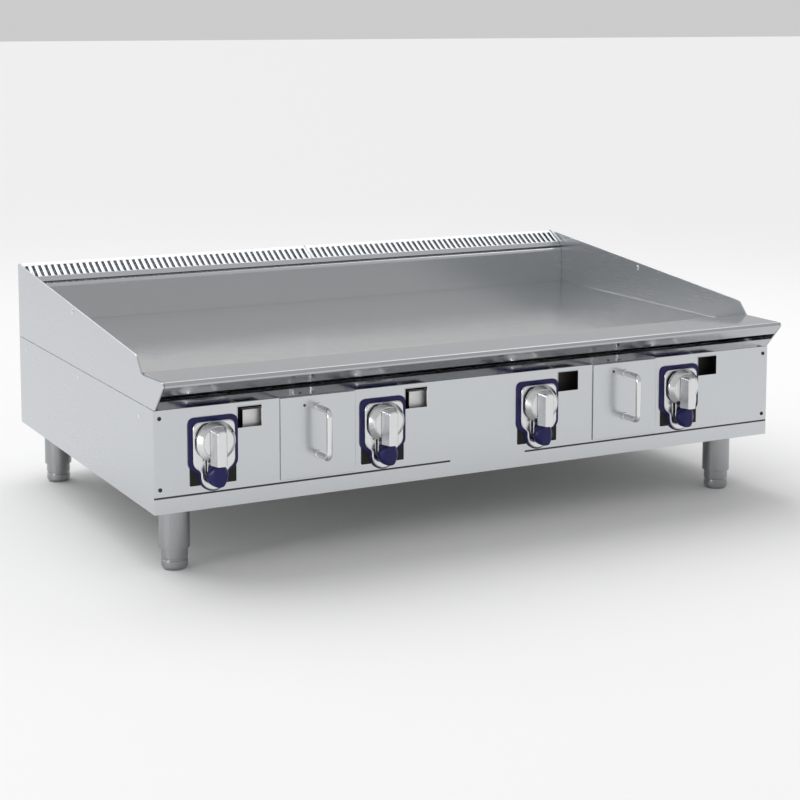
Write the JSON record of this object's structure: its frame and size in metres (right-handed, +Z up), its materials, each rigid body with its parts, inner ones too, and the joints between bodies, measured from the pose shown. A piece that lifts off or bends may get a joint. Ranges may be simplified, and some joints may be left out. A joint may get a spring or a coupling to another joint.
{
  "type": "flat top griddle",
  "caption": "Countertop gas flat top griddle in stainless steel: steel cooking plate with tapered splashes, rear flue grille, push-and-turn knobs, grease drawers and adjustable legs.",
  "frame": {"origin": "centre of the outline at the floor, under the four feet", "axes": "+X to the operator's right, along the width; +Y to the back, away from the operator; +Z up"},
  "size_m": [1.2192, 0.834, 0.4123],
  "materials": {
    "brushed_steel": "brushed stainless sheet",
    "polished_steel": "polished stainless sheet and bar",
    "cooking_steel": "ground and polished steel plate",
    "aluminised_steel": "dull aluminised sheet",
    "burner_steel": "dark heat-stained steel tube",
    "brass": "machined",
    "navy_plastic": "satin moulded",
    "cast_metal": "satin plated die casting",
    "leg_steel": "brushed stainless tube"
  },
  "bodies": {
    "cabinet": {"base_pan": "aluminised_steel", "side_panel_left": "brushed_steel", "side_panel_right": "brushed_steel", "side_splash_left": "brushed_steel", "side_splash_right": "brushed_steel", "rear_panel": "brushed_steel", "fascia": "brushed_steel", "front_ledge": "polished_steel", "rail_lower_strip": "polished_steel", "griddle_plate": "cooking_steel", "grease_trough": "brushed_steel", "backsplash": "brushed_steel", "flue_grille_left": "brushed_steel", "flue_grille_right": "brushed_steel", "burner_box": "aluminised_steel", "burner_1": "burner_steel", "burner_2": "burner_steel", "burner_3": "burner_steel", "burner_4": "burner_steel", "gas_manifold": "burner_steel", "gas_valve_1": "brass", "gas_valve_2": "brass", "gas_valve_3": "brass", "gas_valve_4": "brass", "heat_shield": "aluminised_steel", "bezel_base_1": "navy_plastic", "bezel_cap_1": "cast_metal", "bezel_base_2": "navy_plastic", "bezel_cap_2": "cast_metal", "bezel_base_3": "navy_plastic", "bezel_cap_3": "cast_metal", "bezel_base_4": "navy_plastic", "bezel_cap_4": "cast_metal", "leg_front_left": "leg_steel", "leg_front_right": "leg_steel", "leg_rear_left": "leg_steel", "leg_rear_right": "leg_steel"},
    "push_1": {"push_collar_1": "brass"},
    "control_1": {"knob_1": "cast_metal", "knob_tip_1": "navy_plastic"},
    "push_2": {"push_collar_2": "brass"},
    "control_2": {"knob_2": "cast_metal", "knob_tip_2": "navy_plastic"},
    "push_3": {"push_collar_3": "brass"},
    "control_3": {"knob_3": "cast_metal", "knob_tip_3": "navy_plastic"},
    "push_4": {"push_collar_4": "brass"},
    "control_4": {"knob_4": "cast_metal", "knob_tip_4": "navy_plastic"},
    "drawer_left": {"drawer_tray_left": "brushed_steel", "drawer_front_left": "brushed_steel", "drawer_handle_left": "polished_steel"},
    "drawer_right": {"drawer_tray_right": "brushed_steel", "drawer_front_right": "brushed_steel", "drawer_handle_right": "polished_steel"},
    "levelling_front_left": {"foot_front_left": "leg_steel"},
    "levelling_front_right": {"foot_front_right": "leg_steel"},
    "levelling_rear_left": {"foot_rear_left": "leg_steel"},
    "levelling_rear_right": {"foot_rear_right": "leg_steel"}
  },
  "joints": [
    {"name": "knob_push_1", "type": "slide", "parent": "cabinet", "child": "push_1", "axis": [0, 1, 0], "range_m": [0, 0.003], "stiffness_N_per_m": 1200, "springref_m": -0.002},
    {"name": "knob_turn_1", "type": "hinge", "parent": "push_1", "child": "control_1", "pos_m": [-0.5092, -0.368, 0.214], "axis": [0, -1, 0], "range_deg": [0, 240]},
    {"name": "knob_push_2", "type": "slide", "parent": "cabinet", "child": "push_2", "axis": [0, 1, 0], "range_m": [0, 0.003], "stiffness_N_per_m": 1200, "springref_m": -0.002},
    {"name": "knob_turn_2", "type": "hinge", "parent": "push_2", "child": "control_2", "pos_m": [-0.2044, -0.368, 0.214], "axis": [0, -1, 0], "range_deg": [0, 240]},
    {"name": "knob_push_3", "type": "slide", "parent": "cabinet", "child": "push_3", "axis": [0, 1, 0], "range_m": [0, 0.003], "stiffness_N_per_m": 1200, "springref_m": -0.002},
    {"name": "knob_turn_3", "type": "hinge", "parent": "push_3", "child": "control_3", "pos_m": [0.1004, -0.368, 0.214], "axis": [0, -1, 0], "range_deg": [0, 240]},
    {"name": "knob_push_4", "type": "slide", "parent": "cabinet", "child": "push_4", "axis": [0, 1, 0], "range_m": [0, 0.003], "stiffness_N_per_m": 1200, "springref_m": -0.002},
    {"name": "knob_turn_4", "type": "hinge", "parent": "push_4", "child": "control_4", "pos_m": [0.4052, -0.368, 0.214], "axis": [0, -1, 0], "range_deg": [0, 240]},
    {"name": "drawer_slide_left", "type": "slide", "parent": "cabinet", "child": "drawer_left", "axis": [0, -1, 0], "range_m": [0, 0.3]},
    {"name": "drawer_slide_right", "type": "slide", "parent": "cabinet", "child": "drawer_right", "axis": [0, -1, 0], "range_m": [0, 0.3]},
    {"name": "foot_adjust_front_left", "type": "slide", "parent": "cabinet", "child": "levelling_front_left", "axis": [0, 0, -1], "range_m": [0, 0.025]},
    {"name": "foot_adjust_front_right", "type": "slide", "parent": "cabinet", "child": "levelling_front_right", "axis": [0, 0, -1], "range_m": [0, 0.025]},
    {"name": "foot_adjust_rear_left", "type": "slide", "parent": "cabinet", "child": "levelling_rear_left", "axis": [0, 0, -1], "range_m": [0, 0.025]},
    {"name": "foot_adjust_rear_right", "type": "slide", "parent": "cabinet", "child": "levelling_rear_right", "axis": [0, 0, -1], "range_m": [0, 0.025]}
  ]
}
